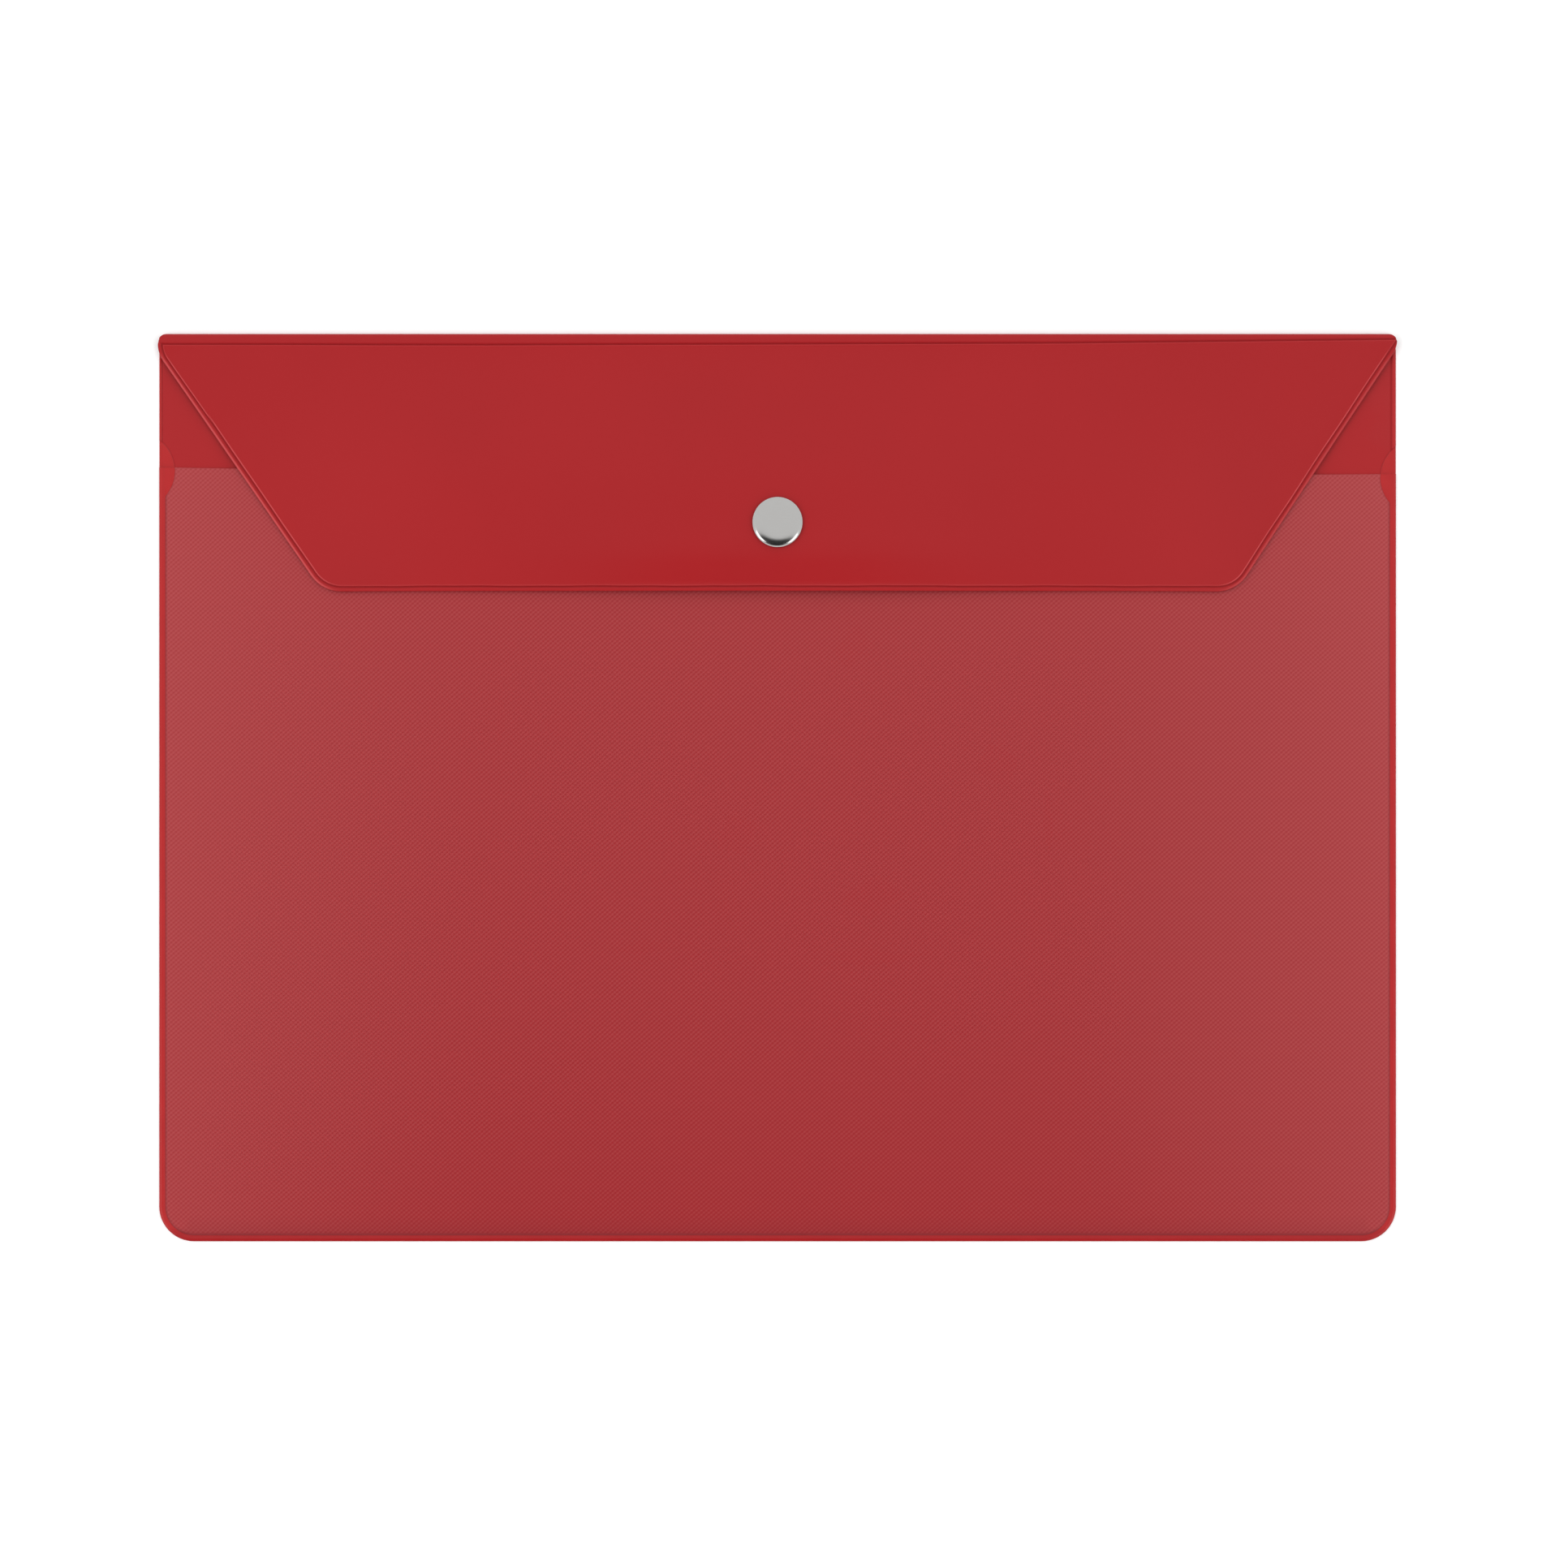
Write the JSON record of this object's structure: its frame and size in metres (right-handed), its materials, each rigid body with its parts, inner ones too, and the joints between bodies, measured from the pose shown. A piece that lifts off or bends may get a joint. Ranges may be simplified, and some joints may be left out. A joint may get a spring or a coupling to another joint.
{
  "type": "document wallet",
  "caption": "Landscape document wallet of welded plastic film: opaque back and fold-over flap, translucent embossed front, closed by a nickel press stud.",
  "frame": {"origin": "under the middle of the wallet's outline, on the plane its back lies on", "axes": "+X along the width to the right, +Y up the front towards the fold, +Z out of the front"},
  "size_m": [0.3202, 0.2346, 0.0106],
  "materials": {
    "red_film": "satin",
    "clear_red_film": "satin",
    "nickel": "gloss"
  },
  "bodies": {
    "pocket": {"back_panel": "red_film", "front_sheet": "clear_red_film", "flap_fold": "red_film", "snap_stud": "nickel", "stud_eyelet": "nickel"},
    "flap": {"flap_sheet": "red_film", "flap_lining": "red_film", "cap_shell": "nickel", "cap_post": "nickel", "socket_shell": "nickel", "socket_plate": "nickel", "socket_spring": "nickel"}
  },
  "joints": [
    {"name": "flap_hinge", "type": "hinge", "parent": "pocket", "child": "flap", "pos_m": [0, 0.1162, 0.00115], "axis": [-1, 0, 0], "range_deg": [0, 167], "deforming": ["flap_fold", "socket_spring"]}
  ]
}
